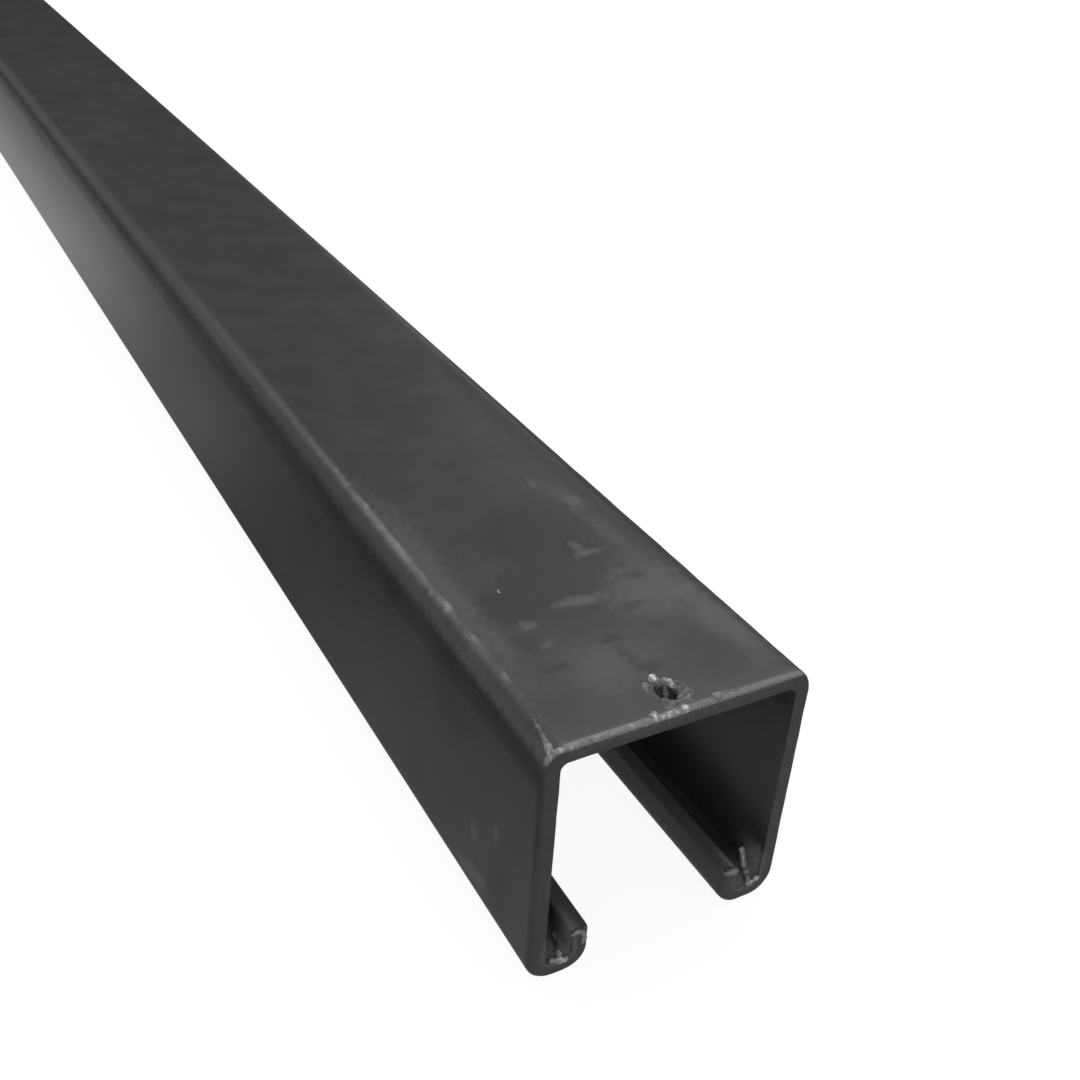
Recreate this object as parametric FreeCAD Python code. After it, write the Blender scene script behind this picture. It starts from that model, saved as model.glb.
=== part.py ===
import FreeCAD, Part

import math
import os

from FreeCAD import Vector

# A length of 1 5/8 in square, 12 gauge strut channel with a plain web, roll-formed from one strip
# of steel: the web on top, two walls, and at the foot of each wall a lip that turns in and then
# back up into the channel, leaving a slot between the two returns. Lengths are in millimetres.
# X runs across the channel, Y along it and Z up. It lies on its two lips, slot down, and the
# origin is on the ground, in the middle of the length and of the width.

# The section, over its outside faces
channel_width = 41.3
channel_height = 41.3
sheet_thickness = 2.66
lip_width = 9.53
return_height = 7.14

# Inside radius of each pair of bends, from the web down to the returns
web_bend_radius = 1.0
lip_bend_radius = 1.4
return_bend_radius = 0.9

# Rounding of the strip's two slit edges, which are the tips of the returns
slit_edge_radius = 0.5

# The length, and the edge that the cropping press rolls over round the outside of each end
stock_length = 1000.0
cropped_edge_radius = 0.8

# The hole that the length hung by in the paint line, punched through the web close to one end
hang_hole_diameter = 4.2
metal_beyond_hang_hole = 2.1

# How near two places have to be to count as one when edges are picked out
same_place = 1e-4

near_end = -stock_length / 2
far_end = stock_length / 2


def rounded_path(corners, radii):
    """A wire through the corners, with an arc of the given radius at each one between its ends."""
    edges = []
    start = corners[0]
    for before, corner, after, radius in zip(corners, corners[1:], corners[2:], radii):
        back = (before - corner).normalize()
        ahead = (after - corner).normalize()
        half_angle = back.getAngle(ahead) / 2
        to_tangent = radius / math.tan(half_angle)
        to_arc = radius / math.sin(half_angle) - radius
        arc_start = corner + back * to_tangent
        arc_middle = corner + (back + ahead).normalize() * to_arc
        arc_end = corner + ahead * to_tangent
        edges.append(Part.LineSegment(start, arc_start).toShape())
        edges.append(Part.Arc(arc_start, arc_middle, arc_end).toShape())
        start = arc_end
    edges.append(Part.LineSegment(start, corners[-1]).toShape())
    return Part.Wire(edges)


def inside_line(y):
    """The strip's inner face in section at y, from the tip of one return round to the other's."""
    wall = channel_width / 2 - sheet_thickness
    lip_return = channel_width / 2 - lip_width + sheet_thickness
    web = channel_height - sheet_thickness
    half = [
        Vector(lip_return, y, return_height),
        Vector(lip_return, y, sheet_thickness),
        Vector(wall, y, sheet_thickness),
        Vector(wall, y, web),
    ]
    other_half = [Vector(-corner.x, y, corner.z) for corner in reversed(half)]

    # The two bends of a lip meet in the middle of its trough at most
    half_trough = (wall - lip_return) / 2
    half_radii = [
        min(return_bend_radius, half_trough),
        min(lip_bend_radius, half_trough),
        web_bend_radius,
    ]
    return rounded_path(half + other_half, half_radii + half_radii[::-1])


def outside_line(y):
    """The strip's outer face in section at y, one sheet thickness out from the inner one."""
    return inside_line(y).makeOffset2D(-sheet_thickness, openResult=True)


def rolled_channel():
    """The strip as it leaves the rolls: its section drawn out over the whole length."""
    section = inside_line(near_end).makeOffset2D(-sheet_thickness, fill=True, openResult=True)
    return section.extrude(Vector(0, stock_length, 0)).Solids[0]


def lies_on(edge, line):
    """Whether an edge's two ends and its middle are all on the line."""
    first, last = edge.ParameterRange
    places = [edge.valueAt(parameter) for parameter in (first, (first + last) / 2, last)]
    return all(line.distToShape(Part.Vertex(place))[0] < same_place for place in places)


def round_cropped_ends(channel):
    """Rolls over the edge between each end's face and the outside of the section."""
    lines = [outside_line(near_end), outside_line(far_end)]
    edges = [edge for edge in channel.Edges if any(lies_on(edge, line) for line in lines)]
    return channel.makeFillet(cropped_edge_radius, edges)


def round_slit_edges(channel):
    """Rounds the long edges at the tips of the two returns."""
    edges = []
    for edge in channel.Edges:
        box = edge.BoundBox
        at_tip = max(abs(box.ZMin - return_height), abs(box.ZMax - return_height)) < same_place
        if at_tip and box.YLength > box.XLength:
            edges.append(edge)
    return channel.makeFillet(slit_edge_radius, edges)


def punch_hang_hole(channel):
    """Punches the hole through the web, in the middle of its width, at the near end."""
    radius = hang_hole_diameter / 2
    centre_y = near_end + metal_beyond_hang_hole + radius
    inside_channel = Vector(0, centre_y, channel_height / 2)
    punch = Part.makeCylinder(radius, channel_height, inside_channel)
    return channel.cut(punch)


channel = rolled_channel()
channel = round_cropped_ends(channel)
channel = round_slit_edges(channel)
channel = punch_hang_hole(channel)

os.makedirs("parts", exist_ok=True)
channel.Solids[0].exportStep("parts/strut_channel.step")
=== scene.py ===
"""The looks of a length of painted strut channel.

Each piece is an operator, so that it can be made again with other sizes and colours from the
panel in the sidebar: the rolled channel, the burr round its hang hole, the burrs along its
cropped end, and the stage. Lengths are in metres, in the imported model's own frame: X across the
channel, Y along it, Z up, and the hang hole at the -Y end.
"""

import math

import bmesh
import bpy
from bpy.props import FloatProperty, FloatVectorProperty, PointerProperty
from bpy.types import Operator, Panel, PropertyGroup
from mathutils import Matrix, Vector, kdtree, noise


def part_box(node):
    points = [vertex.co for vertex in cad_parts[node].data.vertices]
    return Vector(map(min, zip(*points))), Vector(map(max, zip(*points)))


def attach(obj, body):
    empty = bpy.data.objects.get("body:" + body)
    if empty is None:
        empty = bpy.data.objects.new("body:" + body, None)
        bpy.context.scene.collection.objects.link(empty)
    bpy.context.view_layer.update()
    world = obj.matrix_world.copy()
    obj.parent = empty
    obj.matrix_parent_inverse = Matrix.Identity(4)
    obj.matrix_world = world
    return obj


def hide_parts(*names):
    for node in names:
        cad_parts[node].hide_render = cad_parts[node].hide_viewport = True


bl_info = {
    "name": "Strut channel",
    "version": (1, 0, 0),
    "blender": (4, 5, 0),
    "location": "3D View > Sidebar > Channel",
    "description": "Makes a length of painted strut channel with the burrs of its cropped end",
    "category": "Object",
}

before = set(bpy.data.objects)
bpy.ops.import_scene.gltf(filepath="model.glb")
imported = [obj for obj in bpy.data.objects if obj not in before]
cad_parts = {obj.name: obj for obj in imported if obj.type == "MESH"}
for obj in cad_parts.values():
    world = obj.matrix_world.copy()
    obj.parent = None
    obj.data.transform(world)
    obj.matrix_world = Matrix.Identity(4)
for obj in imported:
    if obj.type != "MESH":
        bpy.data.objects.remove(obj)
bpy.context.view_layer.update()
NODE = "strut_channel"
LOWEST, HIGHEST = (Vector(corner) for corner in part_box(NODE))
SIZE = HIGHEST - LOWEST
NEAR_END = LOWEST.y
FAR_END = HIGHEST.y

MM = 0.001

# Places this near count as one, and vertices this near are welded
SAME_PLACE = 1e-7
WELD = 1e-6

# The skin layer is 1 outside the sheet and 0 inside it, and in between at the slit edges
OUTSIDE, MIDDLE, INSIDE = 0.6, 0.5, 0.4

# How far the wear, the painted highlight on the bend and the marks with their painted sheen reach
# from the ends, in millimetres
CREPT_PAINT = 110
DENTS = 90
RUBBED_AND_HIGHLIT_BEND = 100
MARKS_AND_SHEEN_ON_WEB = 110
MARKS_AND_SHADE_ON_WALL = 40

# How far apart the section's points are, across level runs and up upright ones
LEVEL_CELL = 0.4 * MM
UPRIGHT_CELL = 1.2 * MM

# The rounding of the edges inside both ends
INNER_EDGE = 0.22 * MM

# In radians, edges that turn less than the first are smooth, and more than the second corners
SMOOTH_ANGLE = math.radians(38)
CORNER_ANGLE = 1.2


def linear(hex_colour):
    """An sRGB hex colour as the linear values that a shader takes, with full alpha."""
    values = [int(hex_colour[i : i + 2], 16) / 255 for i in (1, 3, 5)]
    return (
        *(v / 12.92 if v <= 0.04045 else ((v + 0.055) / 1.055) ** 2.4 for v in values),
        1.0,
    )


def per_metre(millimetres):
    """The Scale of a texture whose pattern repeats about every so many millimetres."""
    return 1 / (millimetres * MM)


def rise(value, start, length):
    """0 up to the start, 1 from a length beyond it on, and evenly between."""
    return min(1, max(0, (value - start) / length))


def fade(value, end, length):
    """1 up to a length before the end, 0 from the end on, and evenly between."""
    return min(1, max(0, (end - value) / length))


def bell(distance, width):
    """1 at no distance, and almost 0 at twice the width."""
    return math.exp(-((distance / width) ** 2))


class ChannelSizes(PropertyGroup):
    width: FloatProperty(
        name="Width", description="Over the outside of the walls",
        default=SIZE.x, min=0.01, unit="LENGTH", subtype="DISTANCE",
    )
    height: FloatProperty(
        name="Height", description="From the feet of the lips to the web",
        default=SIZE.z, min=0.01, unit="LENGTH", subtype="DISTANCE",
    )
    sheet: FloatProperty(
        name="Sheet", description="Thickness of the strip",
        default=2.66 * MM, min=0.0005, unit="LENGTH", subtype="DISTANCE",
    )
    lip: FloatProperty(
        name="Lip", description="Width of each lip over its outside faces",
        default=9.53 * MM, min=0.002, unit="LENGTH", subtype="DISTANCE",
    )
    lip_return: FloatProperty(
        name="Return", description="Height of each lip's returned edge",
        default=7.14 * MM, min=0.002, unit="LENGTH", subtype="DISTANCE",
    )
    web_bend: FloatProperty(
        name="Web bend", description="Inside radius of the bends beside the web",
        default=1.0 * MM, min=0.0001, unit="LENGTH", subtype="DISTANCE",
    )
    lip_bend: FloatProperty(
        name="Lip bend", description="Inside radius of the bends at the feet of the walls",
        default=1.4 * MM, min=0.0001, unit="LENGTH", subtype="DISTANCE",
    )
    return_bend: FloatProperty(
        name="Return bend", description="Inside radius of the bends below the returns",
        default=0.9 * MM, min=0.0001, unit="LENGTH", subtype="DISTANCE",
    )
    slit_edge: FloatProperty(
        name="Slit edge", description="Rounding of the tips of the returns",
        default=0.5 * MM, min=0.0001, unit="LENGTH", subtype="DISTANCE",
    )
    cropped_edge: FloatProperty(
        name="Cropped edge", description="Radius that the cropping press leaves round each end",
        default=0.8 * MM, min=0.0001, unit="LENGTH", subtype="DISTANCE",
    )
    hole: FloatProperty(
        name="Hang hole", description="Diameter of the hole at the near end",
        default=4.2 * MM, min=0.001, unit="LENGTH", subtype="DISTANCE",
    )
    beyond_hole: FloatProperty(
        name="Beyond the hole", description="Metal between the hole and the near end",
        default=2.1 * MM, min=0.001, unit="LENGTH", subtype="DISTANCE",
    )


class ChannelFinish(PropertyGroup):
    paint: FloatVectorProperty(
        name="Paint", description="The satin enamel as it dried",
        default=linear("#282828"), size=4, min=0, max=1, subtype="COLOR",
    )
    # Also the lighter colour of the marks, which are partly painted sheen
    paint_thin_and_sheen: FloatVectorProperty(
        name="Thin paint", description="The enamel where it is thin or dusty",
        default=linear("#4c4c4c"), size=4, min=0, max=1, subtype="COLOR",
    )
    # Also the colour of the painted highlights on the web's edge and the bend, and of the painted
    # light inside the near end
    paint_rubbed_and_highlight: FloatVectorProperty(
        name="Rubbed paint", description="The enamel on edges that were rubbed in handling",
        default=linear("#787878"), size=4, min=0, max=1, subtype="COLOR",
    )
    steel: FloatVectorProperty(
        name="Bare steel", description="Steel that shows where the paint has come off",
        default=linear("#c4c4c0"), size=4, min=0, max=1, subtype="COLOR",
    )
    roughness: FloatProperty(
        name="Paint roughness", description="Roughness of the enamel",
        default=0.32, min=0.05, max=1.0, subtype="FACTOR",
    )


class ChannelStage(PropertyGroup):
    camera_place: FloatVectorProperty(
        name="Camera", description="Where the camera stands",
        default=(-0.08104, -0.59756, 0.14133), size=3, subtype="TRANSLATION", unit="LENGTH",
    )
    camera_heading: FloatProperty(
        name="Heading", description="Turn of the camera from +Y towards +X",
        default=math.radians(30.653), subtype="ANGLE", unit="ROTATION",
    )
    camera_elevation: FloatProperty(
        name="Elevation", description="Tilt of the camera above the horizon",
        default=math.radians(-31.457), subtype="ANGLE", unit="ROTATION",
    )
    camera_roll: FloatProperty(
        name="Roll", description="Turn of the camera about its own line of sight",
        default=math.radians(3.8415), subtype="ANGLE", unit="ROTATION",
    )
    camera_lens: FloatProperty(
        name="Lens", description="Focal length in millimetres on a 36 mm wide sensor",
        default=42.17, min=1,
    )
    sky: FloatProperty(
        name="Room light", description="Strength of the room's even light",
        default=0.55, min=0,
    )
    lamp: FloatProperty(
        name="Softbox", description="Power of each softbox in watts",
        default=5.5, min=0, subtype="POWER",
    )


def new_object(name, bm):
    """Makes an object of a finished bmesh, in place of an older one of that name."""
    mesh = bpy.data.meshes.new(name)
    bm.to_mesh(mesh)
    bm.free()
    old = bpy.data.objects.get(name)
    if old is not None:
        bpy.data.objects.remove(old)
    made = bpy.data.objects.new(name, mesh)
    bpy.context.scene.collection.objects.link(made)
    return made


def height_of(edge):
    """How much higher one end of an edge is than the other."""
    return abs(edge.verts[0].co.z - edge.verts[1].co.z)


def section_line(bm, sizes, inset):
    """Draws the strip's face in section at the near end, at a depth below the outside faces, as a
    wire from one return round to the other."""
    half_width = sizes.width / 2
    half = [
        (half_width - sizes.lip + inset, sizes.lip_return),
        (half_width - sizes.lip + inset, inset),
        (half_width - inset, inset),
        (half_width - inset, sizes.height - inset),
    ]
    corners = half + [(-x, z) for x, z in reversed(half)]
    verts = [bm.verts.new((x, NEAR_END, z)) for x, z in corners]
    for pair in zip(verts, verts[1:]):
        bm.edges.new(pair)
    outward = sizes.sheet - inset
    # Each bend has a twin in the other half
    bends = ((1, 6, sizes.return_bend), (2, 5, sizes.lip_bend), (3, 4, sizes.web_bend))
    for first, second, radius in bends:
        bmesh.ops.bevel(
            bm, geom=[verts[first], verts[second]], offset=radius + outward,
            offset_type="OFFSET", segments=8, profile=0.5, affect="VERTICES", material=-1,
        )


def draw_section(bm, sizes, skin_layer):
    """Draws the strip's section as one band of cells, with the tips of the returns rounded."""
    section_line(bm, sizes, 0.0)
    for vert in bm.verts:
        vert[skin_layer] = 1.0
    section_line(bm, sizes, sizes.sheet)
    runs = {}
    for edge in bm.edges:
        length = edge.calc_length()
        cell = LEVEL_CELL if height_of(edge) < SAME_PLACE else UPRIGHT_CELL
        cuts = round(length / cell) - 1
        # The arcs' own segments are shorter than this and stay whole
        if length > 1.5 * MM and cuts > 0:
            runs.setdefault(cuts, []).append(edge)
    for cuts, edges in runs.items():
        bmesh.ops.subdivide_edges(bm, edges=edges, cuts=cuts)
    bmesh.ops.bridge_loops(bm, edges=bm.edges[:])
    tips = [
        vert for vert in bm.verts
        if abs(vert.co.z - sizes.lip_return) < SAME_PLACE and len(vert.link_edges) == 2
    ]
    bmesh.ops.bevel(
        bm, geom=tips, offset=sizes.slit_edge, offset_type="OFFSET", segments=3, profile=0.5,
        affect="VERTICES", material=-1,
    )


def draw_out(bm, places):
    """Draws the section out along Y through places, and leaves a cap at both ends only."""
    cap = bm.faces[:]
    for back, ahead in zip(places, places[1:]):
        made = bmesh.ops.extrude_face_region(bm, geom=cap)["geom"]
        if back > places[0]:
            bmesh.ops.delete(bm, geom=cap, context="FACES")
        cap = [g for g in made if isinstance(g, bmesh.types.BMFace)]
        verts = [g for g in made if isinstance(g, bmesh.types.BMVert)]
        bmesh.ops.translate(bm, verts=verts, vec=(0, ahead - back, 0))


def graded(start, stop, first, growth, most):
    """Places from start to stop, the first step as given and each one after it longer."""
    places = [start]
    step = first
    # The last step, up to the stop, is at least half as long as the one before it
    while places[-1] + step * 1.5 < stop:
        places.append(places[-1] + step)
        step = min(step * growth, most)
    return places + [stop]


def stations(sizes):
    """Where the section is set along the length: close together near the photographed end."""
    # The cropped edge is rounded between an end and the station next to it
    crop = sizes.cropped_edge + 0.2 * MM
    # Where each zone stops, its first step, how fast the steps grow, and the longest
    zones = (
        (NEAR_END + 9 * MM, 0.4 * MM, 1.0, 0.4 * MM),
        (NEAR_END + 85 * MM, 0.6 * MM, 1.03, 0.95 * MM),
        (FAR_END - 12 * MM, 1.3 * MM, 1.07, 60 * MM),
    )
    places, start = [NEAR_END], NEAR_END + crop
    for stop, first, growth, most in zones:
        places += graded(start, stop, first, growth, most)[:-1]
        start = stop
    return places + [start, FAR_END - 5 * MM, FAR_END - 2.5 * MM, FAR_END - crop, FAR_END]


def crop_ends(bm, sizes, skin_layer):
    """Rolls over the edge round the outside of both ends, and rounds the one inside a little."""

    def edges_at_ends():
        return [
            edge for edge in bm.edges
            if any(
                all(abs(vert.co.y - end) < SAME_PLACE for vert in edge.verts)
                for end in (NEAR_END, FAR_END)
            )
        ]

    outer_edges = [
        edge for edge in edges_at_ends()
        if all(vert[skin_layer] > OUTSIDE for vert in edge.verts)
        and any(abs(face.normal.y) < 0.1 for face in edge.link_faces)
    ]
    bmesh.ops.bevel(
        bm, geom=outer_edges, offset=sizes.cropped_edge, offset_type="OFFSET", segments=5,
        profile=0.5, affect="EDGES", material=-1,
    )
    inner_edges = [
        edge for edge in edges_at_ends()
        if all(vert[skin_layer] < INSIDE for vert in edge.verts)
        and len(edge.link_faces) == 2
        and edge.calc_face_angle(0) > CORNER_ANGLE
    ]
    bmesh.ops.bevel(
        bm, geom=inner_edges, offset=INNER_EDGE, offset_type="OFFSET", segments=2, profile=0.5,
        affect="EDGES", material=-1,
    )


def punch_hole(bm, centre, radius, sheet):
    """Opens a hole through the web, not quite round, and closes its wall."""

    def in_hole(face):
        middle = face.calc_center_median()
        in_web = abs(face.normal.z) > 0.9 and middle.z > centre.z
        return in_web and (middle.xy - centre.xy).length < radius

    bmesh.ops.delete(bm, geom=[face for face in bm.faces if in_hole(face)], context="FACES")
    rims = [edge for edge in bm.edges if edge.is_boundary]
    for vert in dict.fromkeys(vert for edge in rims for vert in edge.verts):
        out = (vert.co.xy - centre.xy).normalized()
        torn = noise.noise(Vector((out.x * 1.6, out.y * 1.6, 5.0)))
        vert.co.xy = centre.xy + out * radius * (1 + 0.09 * torn)
    top = max(vert.co.z for edge in rims for vert in edge.verts)
    upper = [edge for edge in rims if edge.verts[0].co.z > top - sheet / 2]
    lower = dict.fromkeys(vert for edge in rims if edge not in upper for vert in edge.verts)
    made = bmesh.ops.extrude_edge_only(bm, edges=upper)["geom"]
    sunk = [g for g in made if isinstance(g, bmesh.types.BMVert)]
    bmesh.ops.translate(bm, verts=sunk, vec=(0, 0, -sheet))
    bmesh.ops.remove_doubles(bm, verts=[*sunk, *lower], dist=WELD)
    # Looked up after the weld, which replaces some of them
    brim = dict.fromkeys(vert for edge in upper for vert in edge.verts)
    upright = [edge for vert in brim for edge in vert.link_edges if height_of(edge) > sheet / 2]
    bmesh.ops.subdivide_edges(bm, edges=upright, cuts=3, use_grid_fill=True)


# Marks near the photographed end, partly uneven paint and partly painted sheen and shade, in
# millimetres: two places on the face, half the width and half the length, turn in degrees, and how
# much lighter (+) or darker (-) than the paint round them. On the web the places are across it
# and along it from the end.
WEB_MARKS_AND_SHEEN = [
    (-0.8, 26.8, 3.2, 0.9, -6, 1.3),
    (6.2, 39.4, 1.1, 1.4, 0, 1.1),
    (6.9, 37.1, 2.4, 0.8, 0, 1.2),
    (-9.95, 24.3, 1.2, 0.9, 0, 0.9),
    (-9.6, 19.4, 1.4, 0.6, 0, 0.6),
    (9.6, 59.2, 0.6, 1.8, 0, 0.7),
    (12.9, 51.5, 1.0, 1.4, 0, 0.7),
    (12.0, 55.0, 2.0, 6.0, 8, 0.25),
    (12.8, 42.0, 1.4, 7.0, 6, 0.27),
    (10.5, 26.0, 6.0, 7.0, 0, 0.45),
    (15.5, 15.0, 3.0, 9.0, 0, 0.4),
    (-4.0, 12.0, 7.0, 5.0, 0, 0.34),
    (-16.4, 42.0, 2.6, 24.0, 0, 0.5),
    (-9.0, 29.5, 4.8, 4.2, 0, -0.55),
    (0.5, 33.0, 8.0, 5.0, 6, -0.6),
    (2.0, 44.0, 8.5, 8.0, 0, -0.5),
    (-3.0, 24.4, 4.0, 1.0, -10, -0.45),
    (-11.9, 20.7, 1.5, 1.3, 0, -0.6),
    (-11.2, 14.4, 1.9, 0.6, -8, -0.65),
    (-1.0, 17.0, 1.8, 0.7, -5, -0.55),
    (6.6, 17.3, 0.8, 0.8, 0, -0.6),
    (6.5, 22.6, 1.9, 0.6, 20, -0.55),
    (10.4, 29.0, 1.8, 0.9, -15, -0.55),
    (0.4, 9.6, 1.2, 0.9, 0, -0.75),
    (-1.0, 12.5, 1.0, 2.4, 10, -0.4),
    (10.4, 9.0, 3.9, 6.0, 0, -0.28),
    (17.8, 76.0, 2.6, 40.0, 0, -0.9),
]
# On the left wall they are along it from the end and up it; they are partly flecks in the paint
# and partly painted sheen and shade
WALL_MARKS_AND_SHADE = [
    (17.8, 5.6, 1.9, 1.0, 0, 1.0),
    (14.6, 6.3, 1.6, 1.2, 0, 1.0),
    (21.0, 4.9, 1.4, 0.8, 0, 0.8),
    (17.0, 13.5, 0.7, 1.3, 0, 0.7),
    (10.7, 18.8, 0.7, 1.3, 0, 0.7),
    (26.0, 30.0, 5.0, 3.5, 0, -0.4),
    (9.0, 9.0, 3.0, 5.0, 0, -0.3),
]


def mark_and_sheen_at(marks, first, second):
    """How much lighter or darker the marks, partly painted sheen and shade, make a place on their
    face, in millimetres.
    """
    total = 0.0
    for middle, other_middle, half_width, half_length, degrees, strength in marks:
        turn = math.radians(degrees)
        cosine, sine = math.cos(turn), math.sin(turn)
        dx, dy = first - middle, second - other_middle
        u, v = dx * cosine + dy * sine, dy * cosine - dx * sine
        wobble = 0.55 * noise.noise(Vector((first * 1.1, second * 1.1, middle)))
        distance = math.hypot(u / half_width, v / half_length) + wobble
        total += strength * math.exp(-(max(distance, 0) ** 3))
    return total


def rubbed_and_highlight_at(x, y, z, skin, sizes):
    """How rubbed a place is, with the painted highlights on the web's edge and the bend and the
    painted light inside the near end, from 0 to 1, in millimetres from the middle, the near end and
    the floor, and how far it is on the outside of the sheet."""
    half_width, height = sizes.width / MM / 2, sizes.height / MM
    crop = sizes.cropped_edge / MM
    from_end = min(y, (FAR_END - NEAR_END) / MM - y)

    # The cropped edge of the web, worn most on its left half, and lighter all along as a painted
    # highlight on the rolled edge
    over_edge = rise(z, height - crop * 1.3, crop * 0.6)
    side = 0.82 - 0.1 * rise(x, -2, 4)
    rubbed = side * skin * over_edge * bell(max(0, from_end - 0.5 * crop), 0.55 * crop)

    # The ridge of the bend over the left wall, in degrees round from the top: partly rubbed paint,
    # partly a painted highlight along the ridge
    radius = (sizes.web_bend + sizes.sheet) / MM
    across, up = x + half_width - radius, z - height + radius
    if skin > MIDDLE and across < 0 and up > 0:
        turn = math.degrees(math.atan2(-across, up))
        ridge = bell(turn - 14 - 9 * noise.noise(Vector((y / 5, 0, 9))), 16)
        along_it = 0.1 + 0.5 * rise(y, 8, 4) + 0.4 * rise(y, 24, 3)
        along_it *= fade(y, RUBBED_AND_HIGHLIT_BEND, 35)
        patchy = 0.66 + 0.7 * noise.noise(Vector((y / 5, turn / 40, 4)))
        blob = 1.4 * max(0, noise.noise(Vector((y / 2.4, turn / 25, 6))) - 0.2)
        rubbed = max(rubbed, ridge * along_it * (patchy * 0.57 + blob))

    # The inside of the near end, scuffed by what was pushed into it, most of all in the troughs,
    # and lighter towards the open end as painted light that reaches in
    if skin < MIDDLE:
        edge = 0.3 * bell(y, 1.3)
        trough = 0.0
        if abs(x) > 10.5:
            trough = 0.85 * bell(y, 5.5) * fade(z, 11, 4)
        rubbed = max(rubbed, edge, trough) * (0.45 if y < 0.3 else 1)
    return rubbed


def press_in(bm, sizes, skin_layer, bend_layer):
    """Presses the rolled edges and the web's bends in a little here and there, and keeps where
    the paint crept on the bends."""
    bm.normal_update()
    bend = (sizes.web_bend + sizes.sheet) * 0.98
    for vert in bm.verts:
        from_end = min(vert.co.y - NEAR_END, FAR_END - vert.co.y)
        # How deep, in millimetres
        pressed = 0.0
        if from_end < sizes.cropped_edge * 1.3:
            uneven = noise.noise(vert.co / (1.3 * MM)) * 0.6 + noise.noise(vert.co / (4 * MM))
            strength = 1 - abs(from_end / sizes.cropped_edge - 0.4)
            pressed = max(0, strength) * (0.07 + 0.07 * uneven)
        from_corner = max(sizes.width / 2 - abs(vert.co.x), sizes.height - vert.co.z)
        if vert[skin_layer] > OUTSIDE and from_corner < bend:
            vert[bend_layer] = 0.25 + 0.75 * fade(from_end / MM, CREPT_PAINT, 50)
            dents = noise.noise(vert.co / (3.2 * MM)) + 0.6 * noise.noise(vert.co / (7 * MM))
            pressed += max(0, 0.03 + 0.045 * dents) * fade(from_end / MM, DENTS, 30)
        vert.co -= vert.normal * pressed * MM


def wear_and_sheen(bm, sizes, skin_layer, rubbed_and_highlight_layer, mark_and_sheen_layer):
    """Keeps how rubbed each vertex is, with the painted highlights and painted light, and how light
    or dark the marks in its paint and their painted sheen and shade are.
    """
    half_width, height = sizes.width / MM / 2, sizes.height / MM
    for vert in bm.verts:
        x, y, z = vert.co.x / MM, (vert.co.y - NEAR_END) / MM, vert.co.z / MM
        skin = vert[skin_layer]
        vert[rubbed_and_highlight_layer] = rubbed_and_highlight_at(x, y, z, skin, sizes)
        if z > height - 1 and y < MARKS_AND_SHEEN_ON_WEB:
            vert[mark_and_sheen_layer] = mark_and_sheen_at(WEB_MARKS_AND_SHEEN, x, y)
        elif x < 1 - half_width and y < MARKS_AND_SHADE_ON_WALL and skin > MIDDLE:
            vert[mark_and_sheen_layer] = mark_and_sheen_at(WALL_MARKS_AND_SHADE, y, z)
        elif abs(z - sizes.lip_return / MM) < 0.4 and abs(x) < half_width - 5:
            # The slit edge took the paint thinly
            vert[mark_and_sheen_layer] = 0.9 if y > 0.3 else 0.0


def make_channel(sizes, finish):
    """The rolled length: its section, drawn out, with both cropped ends and the hang hole."""
    bm = bmesh.new()
    layers = bm.verts.layers.float
    rubbed_and_highlight_layer, mark_and_sheen_layer, skin_layer, bend_layer = (
        layers.new(name) for name in ("rubbed", "mark", "skin", "bend")
    )
    draw_section(bm, sizes, skin_layer)
    draw_out(bm, stations(sizes))
    crop_ends(bm, sizes, skin_layer)
    radius = sizes.hole / 2
    hole = Vector((0, NEAR_END + sizes.beyond_hole + radius, sizes.height / 2))
    punch_hole(bm, hole, radius, sizes.sheet)
    bmesh.ops.recalc_face_normals(bm, faces=bm.faces)
    press_in(bm, sizes, skin_layer, bend_layer)
    wear_and_sheen(bm, sizes, skin_layer, rubbed_and_highlight_layer, mark_and_sheen_layer)
    for edge in bm.edges:
        edge.smooth = len(edge.link_faces) == 2 and edge.calc_face_angle(0) < SMOOTH_ANGLE
    for face in bm.faces:
        face.smooth = True

    piece = new_object("rolled_channel", bm)
    piece.data.materials.append(satin_enamel(finish, sizes.height))
    weighted = piece.modifiers.new("flat faces stay flat", "WEIGHTED_NORMAL")
    weighted.keep_sharp = True
    weighted.weight = 60
    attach(piece, "root")
    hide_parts(NODE)


def drag(bm, points, step=0.22):
    """Drags a run of metal through points, in millimetres from the middle, the near end and the
    floor, with a radius at each. It is a close row of beads, to be melted together, and this
    gives their places."""
    path = [Vector(points[0])]
    for a, b in zip(points, points[1:]):
        a, b = Vector(a), Vector(b)
        parts = max(1, round((b.xyz - a.xyz).length / step))
        path += [a.lerp(b, (part + 1) / parts) for part in range(parts)]
    # Its corners are rounded
    for _ in range(2):
        inner = [(p + q * 2 + r) / 4 for p, q, r in zip(path, path[1:], path[2:])]
        path = [path[0], *inner, path[-1]]
    for spot in path:
        lumpy = 1.2 + 0.4 * noise.noise(spot.xyz / 0.7)
        bead = bmesh.ops.create_icosphere(bm, subdivisions=2, radius=spot.w * lumpy)["verts"]
        bmesh.ops.translate(bm, vec=spot.xyz, verts=bead)
    return [spot.xyz for spot in path]


def melted(name, bm, voxel):
    """What a bmesh holds, melted into one skin, as a new bmesh."""
    lump = new_object(name, bm)
    mesh = lump.data
    melt = lump.modifiers.new("one skin", "REMESH")
    melt.mode = "VOXEL"
    melt.voxel_size = voxel
    skin = bmesh.new()
    skin.from_object(lump, bpy.context.evaluated_depsgraph_get())
    bpy.data.objects.remove(lump)
    bpy.data.meshes.remove(mesh)
    return skin


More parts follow.
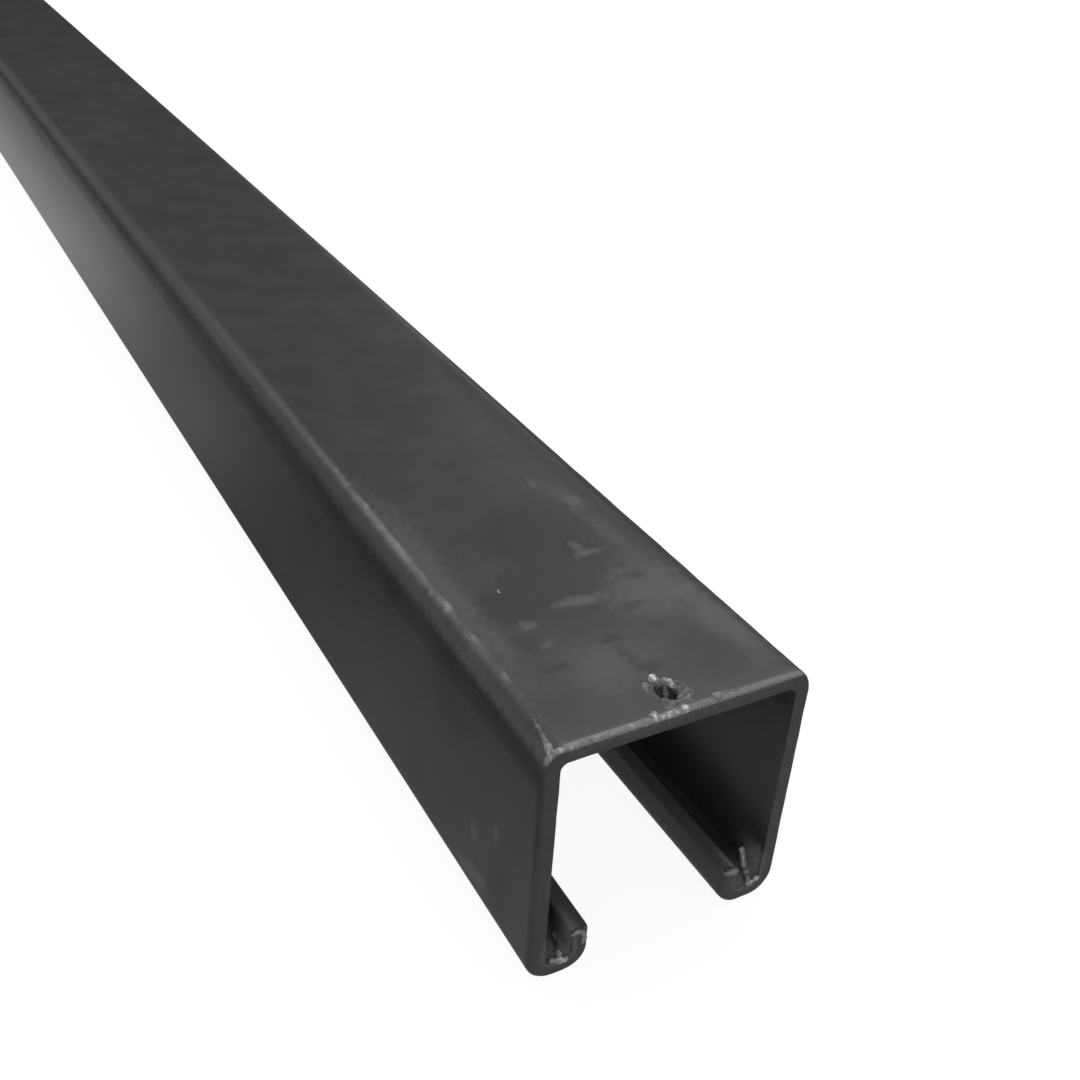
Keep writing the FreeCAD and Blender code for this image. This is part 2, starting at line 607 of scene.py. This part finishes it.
def torn_piece(name, runs, finish, voxel=0.075):
    """Makes one skin out of runs of dragged metal, roughens it, and keeps how bare it is rubbed.
    A run is its points, each with a radius and how brightly it shines."""
    bm = bmesh.new()
    spots, shines = [], []
    for run in runs:
        for spot in drag(bm, [point[:4] for point in run]):
            nearest = min(run, key=lambda point: (Vector(point[:3]) - spot).length)
            spots.append(spot)
            shines.append(nearest[4])
    bm = melted(name + "_beads", bm, voxel)

    tree = kdtree.KDTree(len(spots))
    for index, spot in enumerate(spots):
        tree.insert(spot, index)
    tree.balance()
    rubbed_and_highlight_layer = bm.verts.layers.float.new("rubbed")
    bmesh.ops.smooth_vert(
        bm, verts=bm.verts, factor=0.5, use_axis_x=True, use_axis_y=True, use_axis_z=True
    )
    bm.normal_update()
    for vert in bm.verts:
        near = tree.find_n(vert.co, 3)
        vert[rubbed_and_highlight_layer] = sum(shines[index] for _, index, _ in near) / len(near)
        # The brightest metal is the most torn, in lumps of half and a fifth of a millimetre
        torn = 0.25 + min(1, vert[rubbed_and_highlight_layer])
        lump_at = noise.noise(vert.co / 0.5) + 0.45 * noise.noise(vert.co / 0.22)
        vert.co += vert.normal * lump_at * 0.1 * torn
        vert[rubbed_and_highlight_layer] += 0.28 * lump_at * torn
    bmesh.ops.transform(
        bm, matrix=Matrix.Translation((0, NEAR_END, 0)) @ Matrix.Scale(MM, 4), verts=bm.verts
    )
    bmesh.ops.recalc_face_normals(bm, faces=bm.faces)
    for face in bm.faces:
        face.smooth = True
    piece = new_object(name, bm)
    piece.data.materials.append(torn_edge(finish))
    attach(piece, "root")


# Runs of torn metal, as points in millimetres: across, along from the near end, up, the radius
# of the metal there and how brightly it shines. At the web they are up from its top.
HOLE_RUNS = [
    # The lump that stands up on the far side, and the low one beside it
    [(-0.8, 6.1, -0.35, 0.42, 0.4), (-0.95, 6.6, 0.0, 0.5, 0.85), (-0.85, 7.05, 0.24, 0.44, 1.3)],
    [(-0.3, 6.2, -0.35, 0.4, 0.35), (-0.35, 6.7, -0.02, 0.4, 0.55), (-0.4, 7.0, 0.1, 0.34, 0.6)],
    [(-1.6, 6.2, -0.3, 0.36, 0.2), (-2.4, 6.5, -0.16, 0.45, 0.55), (-2.7, 5.9, -0.2, 0.36, 0.45),
     (-2.85, 4.9, -0.25, 0.3, 0.3)],
    # The curl that leans in over the opening
    [(0.1, 6.6, -0.2, 0.3, 0.45), (0.55, 6.3, -0.02, 0.32, 0.72), (0.95, 5.7, 0.05, 0.36, 0.95),
     (1.0, 5.05, -0.05, 0.32, 1.0)],
    # The strand across the opening
    [(0.5, 6.3, -0.6, 0.44, 0.0), (0.0, 5.2, -0.6, 0.44, 0.0), (-0.56, 4.28, -0.55, 0.44, 0.0),
     (-1.2, 3.3, -0.5, 0.42, 0.02), (-1.7, 2.3, -0.3, 0.4, 0.05),
     (-1.75, 1.8, -0.25, 0.34, 0.05)],
    # Torn metal that fills the right of the opening
    [(0.6, 2.4, -0.5, 0.5, 0.35), (1.3, 2.9, -0.5, 0.52, 0.35), (1.6, 3.8, -0.55, 0.5, 0.3),
     (1.5, 4.8, -0.75, 0.46, 0.2)],
    # Lumps between the opening and the end
    [(0.3, 2.0, -0.25, 0.42, 0.4), (0.8, 1.9, -0.22, 0.36, 0.4)],
    [(1.9, 3.0, -0.25, 0.42, 0.35), (2.2, 3.7, -0.22, 0.34, 0.4)],
    [(1.0, 1.9, -0.2, 0.34, 0.5), (1.7, 2.3, -0.16, 0.38, 0.6)],
    [(-1.9, 1.5, -0.3, 0.34, 0.4), (-1.0, 1.4, -0.3, 0.3, 0.35)],
    [(1.5, 1.5, -0.3, 0.36, 0.45), (1.3, 2.3, -0.3, 0.34, 0.45)],
    [(-2.6, 2.6, -0.34, 0.36, 0.3), (-1.9, 2.0, -0.3, 0.36, 0.4), (-0.9, 1.7, -0.3, 0.36, 0.4)],
    [(-2.4, 1.3, -0.36, 0.36, 0.3), (-1.2, 0.9, -0.4, 0.4, 0.4), (0.2, 1.1, -0.36, 0.4, 0.45)],
    [(2.4, 2.6, -0.34, 0.34, 0.25), (2.5, 3.4, -0.3, 0.36, 0.3), (2.3, 4.6, -0.32, 0.32, 0.3)],
]
WEB_EDGE_RUNS = [
    [(-4.9, 1.0, -0.3, 0.3, 0.8), (-4.6, 0.9, -0.02, 0.4, 1.3)],
    [(-0.3, 0.7, -0.3, 0.34, 0.8), (-0.2, 0.6, -0.02, 0.42, 1.3), (0.1, 0.3, -0.2, 0.3, 1.0)],
    # The ridge that runs back from the corner along the bend
    [(-18.2, 7.6, -0.42, 0.18, 0.25), (-18.6, 4.7, -0.68, 0.34, 0.36),
     (-18.8, 2.8, -0.78, 0.42, 0.45), (-19.1, 1.2, -0.9, 0.52, 0.8),
     (-19.35, 0.7, -1.1, 0.46, 0.85), (-19.95, 0.5, -1.9, 0.3, 0.3)],
    # A speck of metal that dried into the paint
    [(-9.79, 33.0, -0.04, 0.19, 1.4), (-9.79, 33.3, -0.04, 0.19, 1.4)],
    # A chip turned up beyond the hole, and the thin lip that runs on from it
    [(4.6, 1.25, -0.06, 0.15, 0.3), (4.5, 0.75, -0.06, 0.17, 0.4), (4.9, 0.3, -0.2, 0.18, 0.4),
     (5.5, 0.35, -0.16, 0.17, 0.4), (5.9, 0.7, -0.05, 0.15, 0.4), (5.7, 1.1, -0.03, 0.14, 0.45),
     (4.9, 1.3, -0.03, 0.14, 0.5)],
    [(4.7, 0.95, -0.12, 0.2, 0.6), (5.5, 0.8, -0.12, 0.2, 0.6)],
    [(5.7, 1.1, -0.03, 0.13, 0.4), (7.2, 0.95, -0.04, 0.13, 0.4), (8.3, 0.7, -0.05, 0.12, 0.3)],
]
# At the lips they are up from the floor
LEFT_LIP_RUNS = [
    # Along the front of the trough, and back over its floor to the return
    [(-16.8, 0.3, 3.1, 0.36, 0.4), (-16.0, 0.2, 2.75, 0.42, 0.8), (-15.3, 0.15, 2.6, 0.46, 1.0),
     (-14.6, 0.25, 2.45, 0.36, 0.6)],
    [(-15.6, 0.2, 2.8, 0.36, 0.9), (-15.3, 1.1, 3.0, 0.34, 0.8), (-15.0, 1.9, 3.0, 0.24, 0.35),
     (-14.6, 3.2, 3.0, 0.24, 0.25), (-14.2, 4.2, 3.1, 0.32, 0.45)],
    # Over the tip of the return
    [(-13.8, 0.3, 6.7, 0.28, 0.45), (-13.4, 0.2, 7.0, 0.32, 0.55), (-12.8, 0.15, 7.05, 0.3, 0.55),
     (-12.2, 0.15, 6.6, 0.28, 0.5), (-11.9, 0.15, 5.5, 0.32, 0.55), (-12.2, 0.1, 4.7, 0.34, 0.5)],
]
RIGHT_LIP_RUNS = [
    # A curl up the foot of the wall, that comes forward along the trough
    [(17.6, 4.1, 5.6, 0.4, 0.75), (17.6, 3.7, 4.9, 0.42, 0.7), (17.55, 3.3, 3.9, 0.42, 0.7),
     (17.4, 2.7, 3.3, 0.42, 0.7), (17.1, 1.9, 3.1, 0.38, 0.7), (16.7, 0.9, 3.0, 0.36, 0.65),
     (16.2, 0.2, 2.8, 0.34, 0.65)],
    [(16.3, 0.25, 2.65, 0.3, 0.7), (16.9, 0.2, 2.8, 0.3, 1.0), (17.3, 0.2, 2.95, 0.24, 0.5),
     (17.75, 0.2, 3.35, 0.34, 1.1)],
    # Over the tip of the return
    [(11.5, 0.25, 6.9, 0.36, 0.35), (12.3, 0.15, 6.95, 0.46, 0.45),
     (13.1, 0.15, 6.75, 0.46, 0.45), (13.7, 0.3, 6.5, 0.3, 0.35)],
]
# Across and how large, the lumps along the left half of the web's edge
EDGE_LUMPS = [
    (-19.2, 0.08), (-18.3, 0.17), (-16.9, 0.14), (-15.9, 0.11), (-14.6, 0.05), (-13.3, 0.13),
    (-12.2, 0.06), (-10.9, 0.14), (-9.6, 0.05), (-8.2, 0.14), (-7.0, 0.07), (-6.0, 0.08),
    (-4.6, 0.16), (-3.6, 0.13), (-2.7, 0.16), (-1.6, 0.14), (-0.2, 0.15),
]


def from_floor(runs, top):
    """Runs with heights from the web's top, which is at the height given, from the floor."""
    return [[(x, y, top + z, *metal) for x, y, z, *metal in run] for run in runs]


def make_hole_burr(sizes, finish):
    """The torn rim round the hang hole, with a strand of metal left across it."""
    radius = sizes.hole / 2 / MM
    hole_y = sizes.beyond_hole / MM + radius
    top = sizes.height / MM
    rim = []
    for degrees in range(0, 365, 5):
        turn = math.radians(degrees)
        # Low on the left, higher and thicker towards the near end and the right
        raised = 0.5 + 0.5 * math.cos(turn + math.radians(50))
        lump = noise.noise(Vector((math.cos(turn) * 2.4, math.sin(turn) * 2.4, 3)))
        out = radius + 0.16 + 0.12 * raised
        rim.append((
            math.cos(turn) * out, hole_y + math.sin(turn) * out, top - 0.26 + 0.06 * raised,
            0.25 + 0.1 * raised + 0.12 * lump, 0.18 + 0.16 * raised,
        ))
    # Torn metal outside it, from the left round the near side to the right
    apron = []
    for step in range(20):
        turn = math.radians(-158 + step * 7.5)
        lump = noise.noise(Vector((math.cos(turn) * 3.1, math.sin(turn) * 3.1, 8)))
        out = radius + 0.85 + 0.2 * lump
        apron.append((
            math.cos(turn) * out, hole_y + math.sin(turn) * out, top - 0.3, 0.3 + 0.16 * lump, 0.22,
        ))
    torn_piece("hang_hole_burr", [rim, apron, *from_floor(HOLE_RUNS, top)], finish)


def make_end_burrs(sizes, finish):
    """The burrs that the cropping press left: along the web's edge and inside both lips."""
    top = sizes.height / MM
    edge = []
    for step in range(96):
        x = -19.2 + 19.3 * step / 95
        lump = noise.noise(Vector((x * 0.8, 0, 7)))
        more = sum(size * bell(x - middle, 0.42) for middle, size in EDGE_LUMPS)
        thick = 0.22 + 0.08 * rise(x, -9, 6) + 0.05 * lump + 0.8 * more
        shine = 0.45 + 0.1 * lump + 3.0 * more
        edge.append((x, 0.40 + 0.05 * lump, top - 0.36, thick, shine))
    torn_piece("web_edge_burr", [edge, *from_floor(WEB_EDGE_RUNS, top)], finish, voxel=0.085)
    torn_piece("left_lip_burr", LEFT_LIP_RUNS, finish)
    torn_piece("right_lip_burr", RIGHT_LIP_RUNS, finish)


def add_node(tree, kind, options=None, inputs=None):
    """Adds a node. Options are its own settings, and inputs are values or sockets to link."""
    node = tree.nodes.new(kind)
    for name, value in (options or {}).items():
        setattr(node, name, value)
    for name, value in (inputs or {}).items():
        if isinstance(value, bpy.types.NodeSocket):
            tree.links.new(value, node.inputs[name])
        else:
            node.inputs[name].default_value = value
    return node


def place_node(tree):
    """The place on the object, in metres."""
    return add_node(tree, "ShaderNodeTexCoord").outputs["Object"]


def noise_node(tree, place, millimetres, detail, roughness=0.5):
    """Noise whose pattern repeats about every so many millimetres."""
    return add_node(tree, "ShaderNodeTexNoise", inputs={
        "Vector": place, "Scale": per_metre(millimetres), "Detail": detail, "Roughness": roughness,
    }).outputs["Fac"]


def layer_node(tree, name):
    """What a layer of the mesh holds."""
    return add_node(tree, "ShaderNodeAttribute", {"attribute_name": name}).outputs["Fac"]


def math_node(tree, operation, *terms):
    """The outcome of an operation on numbers and sockets."""
    inputs = dict(enumerate(terms))
    return add_node(tree, "ShaderNodeMath", {"operation": operation}, inputs).outputs[0]


def share_node(tree, value, low, high):
    """How far a value has come from the low one, 0, to the high one, 1, eased at both."""
    inputs = {"Value": value, "From Min": low, "From Max": high}
    return add_node(
        tree, "ShaderNodeMapRange", {"interpolation_type": "SMOOTHSTEP"}, inputs
    ).outputs[0]


def mix_node(tree, share, colour, other):
    """The first colour where the share is 0, and the other where it is 1."""
    inputs = {0: share, 6: colour, 7: other}
    return add_node(tree, "ShaderNodeMix", {"data_type": "RGBA"}, inputs).outputs[2]


def fresh_material(name):
    """An empty node material, or the one of that name that was made before."""
    material = bpy.data.materials.get(name) or bpy.data.materials.new(name)
    material.use_nodes = True
    material.node_tree.nodes.clear()
    return material, material.node_tree


def satin_enamel(finish, top):
    """Satin black enamel, dipped over oily rolled steel: an even dark grey with a soft sheen, a
    little mottled where it ran thin, faintly drawn out along the roll direction, rubbed pale on
    the edges, with painted sheen and shade in its marks and painted highlights on the web's edge
    and the bend."""
    material, tree = fresh_material("satin_enamel_on_rolled_steel")
    place = place_node(tree)
    drawn = add_node(
        tree, "ShaderNodeMapping", inputs={"Vector": place, "Scale": (1, 0.16, 1)}
    ).outputs[0]

    # Mottling over a few millimetres, where the enamel lay thick or thin
    mottle = noise_node(tree, place, 9, 3.0, 0.55)
    # Streaks along the strip from the rolls and the brush
    streak = noise_node(tree, drawn, 2.2, 3.0, 0.6)
    # Orange peel of about a millimetre
    peel = noise_node(tree, place, 1.4, 1.5)
    # Long shallow waves, which the rolls leave in the sheet
    wave = noise_node(tree, place, 40, 1.0, 0.4)
    # Fine grain where it is rubbed
    grain = noise_node(tree, place, 0.55, 3.0, 0.65)
    rubbed, mark, bend = (layer_node(tree, name) for name in ("rubbed", "mark", "bend"))

    thin = math_node(tree, "MULTIPLY_ADD", mottle, 0.28, 0.4)
    thin = math_node(tree, "MULTIPLY_ADD", streak, 0.1, thin)
    # The marks lighten and darken the paint, partly as painted sheen and shade
    thin = math_node(tree, "MULTIPLY_ADD", mark, 0.75, thin)
    paint = mix_node(tree, share_node(tree, thin, 0.35, 1.1), finish.paint, finish.paint_thin_and_sheen)

    # Rubbing and the painted highlights break up into specks at their edges, less on the bends
    specks = math_node(tree, "SUBTRACT", grain, 0.5)
    amount = math_node(tree, "MULTIPLY_ADD", bend, -0.35, 0.5)
    rub = math_node(tree, "ADD", rubbed, math_node(tree, "MULTIPLY", specks, amount))
    rub_and_highlight_share = share_node(tree, rub, 0.12, 0.95)
    bare_share = share_node(tree, rub, 0.95, 1.1)
    colour = mix_node(tree, rub_and_highlight_share, paint, finish.paint_rubbed_and_highlight)
    colour = mix_node(tree, bare_share, colour, finish.steel)

    rough = add_node(tree, "ShaderNodeMapRange", inputs={
        "Value": mottle, "To Min": finish.roughness - 0.01, "To Max": finish.roughness + 0.03,
    }).outputs[0]

    # The paint crept on the outside of the bends and dried uneven
    crept = math_node(tree, "MULTIPLY", bend, peel)
    # The walls draw in a little below the web's bends, over a line that wanders
    wander = noise_node(tree, place, 22, 0.0)
    up = add_node(tree, "ShaderNodeSeparateXYZ", inputs={0: place}).outputs["Z"]
    up = math_node(tree, "MULTIPLY_ADD", wander, 2 * MM, up)
    drawn_in = share_node(tree, up, top - 6.8 * MM, top - 0.8 * MM)
    rubbed_and_highlight_grain = math_node(tree, "MULTIPLY", rub_and_highlight_share, grain)

    # Relief in millimetres
    height = math_node(tree, "MULTIPLY", peel, 0.010)
    for source, relief in (
        (wave, 0.03), (streak, 0.002), (mottle, 0.002), (mark, 0.02), (rubbed_and_highlight_grain, 0.05),
        (crept, 0.07), (drawn_in, -0.42),
    ):
        height = math_node(tree, "MULTIPLY_ADD", source, relief, height)
    bump = add_node(
        tree, "ShaderNodeBump", inputs={"Strength": 1.0, "Distance": MM, "Height": height}
    ).outputs[0]

    shader = add_node(tree, "ShaderNodeBsdfPrincipled", inputs={
        "Base Color": colour, "Roughness": rough, "IOR": 1.5, "Metallic": bare_share,
        "Normal": bump,
    })
    add_node(tree, "ShaderNodeOutputMaterial", inputs={"Surface": shader.outputs[0]})
    return material


def torn_edge(finish):
    """Steel torn by the press and painted over: dark enamel in the hollows, enamel rubbed pale
    on the lumps, and bare metal on the few highest crests, which glints."""
    material, tree = fresh_material("torn_steel_edge_with_enamel")
    place = place_node(tree)
    chips = noise_node(tree, place, 0.7, 3.0, 0.6)
    rub = math_node(tree, "MULTIPLY_ADD", chips, 0.5, layer_node(tree, "rubbed"))
    rub_and_highlight_share = share_node(tree, rub, 0.25, 1.0)
    bare_share = share_node(tree, rub, 0.95, 1.55)
    colour = mix_node(tree, rub_and_highlight_share, finish.paint, finish.paint_rubbed_and_highlight)
    colour = mix_node(tree, bare_share, colour, finish.steel)
    grit = noise_node(tree, place, 0.3, 2.0)
    bump = add_node(
        tree, "ShaderNodeBump", inputs={"Strength": 0.6, "Distance": 0.06 * MM, "Height": grit}
    ).outputs[0]
    shader = add_node(tree, "ShaderNodeBsdfPrincipled", inputs={
        "Base Color": colour, "Roughness": 0.45, "IOR": 1.5,
        "Metallic": math_node(tree, "MULTIPLY", bare_share, 0.5), "Normal": bump,
    })
    add_node(tree, "ShaderNodeOutputMaterial", inputs={"Surface": shader.outputs[0]})
    return material


def seen_as_background(tree):
    """1 for the rays that should meet the white background: the camera's, mirrored and clear."""
    rays = add_node(tree, "ShaderNodeLightPath").outputs
    seen = math_node(tree, "MAXIMUM", rays["Is Camera Ray"], rays["Is Glossy Ray"])
    return math_node(tree, "MAXIMUM", seen, rays["Is Transmission Ray"])


def white_floor():
    """A pale matt floor that reads as white, and keeps a soft shadow under the channel."""
    material, tree = fresh_material("matt_white_floor")
    # Those rays see mostly its glow, and for its shadow a little of the matt surface
    share = math_node(tree, "MULTIPLY", seen_as_background(tree), 0.82)
    matt = add_node(tree, "ShaderNodeBsdfDiffuse", inputs={"Color": linear("#e2e2e2")})
    glow = add_node(
        tree, "ShaderNodeEmission", inputs={"Color": linear("#ffffff"), "Strength": 1.12}
    )
    mixed = add_node(
        tree, "ShaderNodeMixShader", inputs={0: share, 1: matt.outputs[0], 2: glow.outputs[0]}
    )
    add_node(tree, "ShaderNodeOutputMaterial", inputs={"Surface": mixed.outputs[0]})
    return material


def shaded_card(name, tones_by_axis):
    """A card that the paint mirrors in place of the white round it. Its brightness changes along
    its axes: each has places in metres and how bright it is there, where 1 is white."""
    material, tree = fresh_material(name)
    places = add_node(tree, "ShaderNodeSeparateXYZ", inputs={0: place_node(tree)}).outputs
    brightness = []
    for axis, tones in tones_by_axis.items():
        first, last = tones[0][0], tones[-1][0]
        share = add_node(
            tree, "ShaderNodeMapRange",
            inputs={"Value": places[axis], "From Min": first, "From Max": last},
        ).outputs[0]
        ramp = add_node(tree, "ShaderNodeValToRGB", inputs={0: share})
        ramp.color_ramp.interpolation = "EASE"
        elements = ramp.color_ramp.elements
        while len(elements) < len(tones):
            elements.new(0.5)
        for element, (where, bright) in zip(elements, tones):
            element.position = (where - first) / (last - first)
            element.color = (bright, bright, bright, 1)
        brightness.append(ramp.outputs[0])
    strength = brightness[0]
    for other in brightness[1:]:
        strength = math_node(tree, "MULTIPLY", strength, other)
    glow = add_node(
        tree, "ShaderNodeEmission", inputs={"Color": linear("#ffffff"), "Strength": strength}
    )
    add_node(tree, "ShaderNodeOutputMaterial", inputs={"Surface": glow.outputs[0]})
    return material


# The paint in the photo mirrors a dark bench and a dark room behind, not the white round it, and
# something dark and low beside them in the bend over the right wall. So there are three cards:
# a name, a corner, two sides, and the tones along the card's axes as shaded_card takes them. The
# bench lies just above the floor, and both lie just below the channel's feet.
CARDS = [
    ("bench", (-1.2, -1.6, -0.0001), (2.4, 0, 0), (0, 3.2, 0), {
        1: [
            (-0.7, 0.38), (NEAR_END, 0.29), (NEAR_END + 0.05, 0.21), (NEAR_END + 0.12, 0.11),
            (NEAR_END + 0.2, 0.28), (NEAR_END + 0.35, 0.72), (0.2, 0.85),
        ],
        0: [(-1.2, 0.1), (-0.052, 0.1), (-0.0395, 1.0), (0.06, 1.0), (0.12, 0.3), (1.2, 0.3)],
    }),
    ("back", (-1.8, 1.3, 0), (3.2, 0, 0), (0, 0, 2.4), {
        0: [
            (-1.8, 0.42), (-0.5, 0.42), (-0.05, 0.2), (0.12, 0.05), (0.35, 0.07), (0.6, 0.11),
            (0.95, 0.4), (1.3, 1.0),
        ],
        2: [
            (0.0, 0.12), (0.2, 0.2), (0.34, 1.0), (0.9, 1.0), (1.15, 0.6), (1.46, 0.5),
            (1.68, 1.0), (2.4, 1.0),
        ],
    }),
    ("side", (1.25, 1.29, 0), (1.55, 0, 0), (0, 0, 1.4), {
        2: [(0.0, 0.12), (1.0, 0.12), (1.25, 0.75), (1.4, 0.9)],
    }),
]

# The lamps: a name, a place, what it faces, its two sides, and its share of the stage's power
LAMPS = [
    ("softbox_overhead", (0.35, -0.1, 1.3), (0, -0.4, 0.03), (1.0, 0.8), 1),
    ("softbox_front", (-0.35, -1.7, 0.75), (0, -0.5, 0.02), (0.9, 0.6), 1),
    ("strip_ahead", (-0.07, 0.52, 0.79), (-0.018, -0.43, 0.04), (0.5, 0.34), 0.16),
]


def flat_sheet(name, corner, across, up, material):
    """A flat rectangular sheet of the stage, from a corner and its two sides."""
    corner, across, up = Vector(corner), Vector(across), Vector(up)
    bm = bmesh.new()
    verts = bmesh.ops.create_grid(bm, x_segments=1, y_segments=1, size=0.5)["verts"]
    for vert in verts:
        vert.co = corner + across * (vert.co.x + 0.5) + up * (vert.co.y + 0.5)
    sheet = new_object(name, bm)
    sheet.data.materials.append(material)
    return sheet


def only_mirrored(sheet):
    """Lets a sheet show in reflections only."""
    sheet.visible_camera = False
    sheet.visible_diffuse = False
    sheet.visible_shadow = False
    sheet.visible_transmission = False


def add_lamp(name, place, target, size, power):
    """A soft rectangular lamp that faces the target."""
    data = bpy.data.lights.new(name, "AREA")
    data.shape = "RECTANGLE"
    data.size, data.size_y = size
    data.energy = power
    lamp = bpy.data.objects.new(name, data)
    lamp.location = place
    lamp.rotation_euler = (Vector(target) - Vector(place)).to_track_quat("-Z", "Y").to_euler()
    bpy.context.scene.collection.objects.link(lamp)


def light_room(scene, strength):
    """An even light from all round, which shows as white to the camera and in reflections."""
    world = scene.world or bpy.data.worlds.new("room")
    scene.world = world
    world.use_nodes = True
    tree = world.node_tree
    tree.nodes.clear()
    shown = add_node(tree, "ShaderNodeMapRange", inputs={
        "Value": seen_as_background(tree), "To Min": strength, "To Max": 1.0,
    })
    light = add_node(tree, "ShaderNodeBackground", inputs={
        "Color": linear("#ffffff"), "Strength": shown.outputs[0],
    })
    add_node(tree, "ShaderNodeOutputWorld", inputs={"Surface": light.outputs[0]})


def add_camera(scene, stage):
    """The camera, at the photograph's viewing angle."""
    data = bpy.data.cameras.new("camera")
    camera = bpy.data.objects.new("camera", data)
    scene.collection.objects.link(camera)
    heading, elevation, roll = stage.camera_heading, stage.camera_elevation, stage.camera_roll
    forward = Vector((
        math.sin(heading) * math.cos(elevation),
        math.cos(heading) * math.cos(elevation),
        math.sin(elevation),
    ))
    level = forward.cross(Vector((0, 0, 1))).normalized()
    over = level.cross(forward)
    right = level * math.cos(roll) + over * math.sin(roll)
    up = right.cross(forward)
    turn = Matrix((right, up, -forward)).transposed().to_4x4()
    camera.matrix_world = Matrix.Translation(stage.camera_place) @ turn
    data.sensor_width = 36
    data.lens = stage.camera_lens
    data.clip_start = 0.01
    scene.camera = camera


def make_stage(stage):
    """The floor, the cards that the paint mirrors, the light and the camera."""
    scene = bpy.context.scene
    scene.view_settings.view_transform = "Standard"
    flat_sheet("floor", (-6, -6, -0.0003), (12, 0, 0), (0, 12, 0), white_floor())
    for name, corner, across, up, tones in CARDS:
        card = shaded_card(name + "_card", tones)
        only_mirrored(flat_sheet(name + "_in_reflections", corner, across, up, card))
    light_room(scene, stage.sky)
    for name, place, target, size, share in LAMPS:
        add_lamp(name, place, target, size, stage.lamp * share)
    add_camera(scene, stage)


class CHANNEL_OT_roll(Operator):
    """Rolls the channel, crops it to length and punches its hang hole"""

    bl_idname = "channel.roll"
    bl_label = "Rolled channel"

    def execute(self, context):
        make_channel(context.scene.channel_sizes, context.scene.channel_finish)
        return {"FINISHED"}


class CHANNEL_OT_hole_burr(Operator):
    """Raises the torn rim round the hang hole"""

    bl_idname = "channel.hole_burr"
    bl_label = "Burr of the hang hole"

    def execute(self, context):
        make_hole_burr(context.scene.channel_sizes, context.scene.channel_finish)
        return {"FINISHED"}


class CHANNEL_OT_end_burrs(Operator):
    """Adds the burrs along the cropped near end"""

    bl_idname = "channel.end_burrs"
    bl_label = "Burrs of the cropped end"

    def execute(self, context):
        make_end_burrs(context.scene.channel_sizes, context.scene.channel_finish)
        return {"FINISHED"}


class CHANNEL_OT_stage(Operator):
    """Sets the floor, the light and the camera"""

    bl_idname = "channel.stage"
    bl_label = "Stage"

    def execute(self, context):
        make_stage(context.scene.channel_stage)
        return {"FINISHED"}


class CHANNEL_PT_panel(Panel):
    """Lists the channel's pieces and their settings"""

    bl_idname = "CHANNEL_PT_panel"
    bl_label = "Strut channel"
    bl_space_type = "VIEW_3D"
    bl_region_type = "UI"
    bl_category = "Channel"

    def draw(self, context):
        for step in STEPS:
            self.layout.operator(step.bl_idname)
        for group in GROUPS:
            settings = getattr(context.scene, group)
            for name in settings.bl_rna.properties.keys():
                if name not in ("rna_type", "name"):
                    self.layout.prop(settings, name)


STEPS = (CHANNEL_OT_roll, CHANNEL_OT_hole_burr, CHANNEL_OT_end_burrs, CHANNEL_OT_stage)
GROUPS = {
    "channel_sizes": ChannelSizes,
    "channel_finish": ChannelFinish,
    "channel_stage": ChannelStage,
}


def register():
    for made in (*GROUPS.values(), *STEPS, CHANNEL_PT_panel):
        bpy.utils.register_class(made)
    for name, group in GROUPS.items():
        setattr(bpy.types.Scene, name, PointerProperty(type=group))


def unregister():
    for name in GROUPS:
        delattr(bpy.types.Scene, name)
    for made in reversed((*GROUPS.values(), *STEPS, CHANNEL_PT_panel)):
        bpy.utils.unregister_class(made)


def main():
    register()
    bpy.ops.channel.roll()
    bpy.ops.channel.hole_burr()
    bpy.ops.channel.end_burrs()
    bpy.ops.channel.stage()


if __name__ == "__main__":
    main()
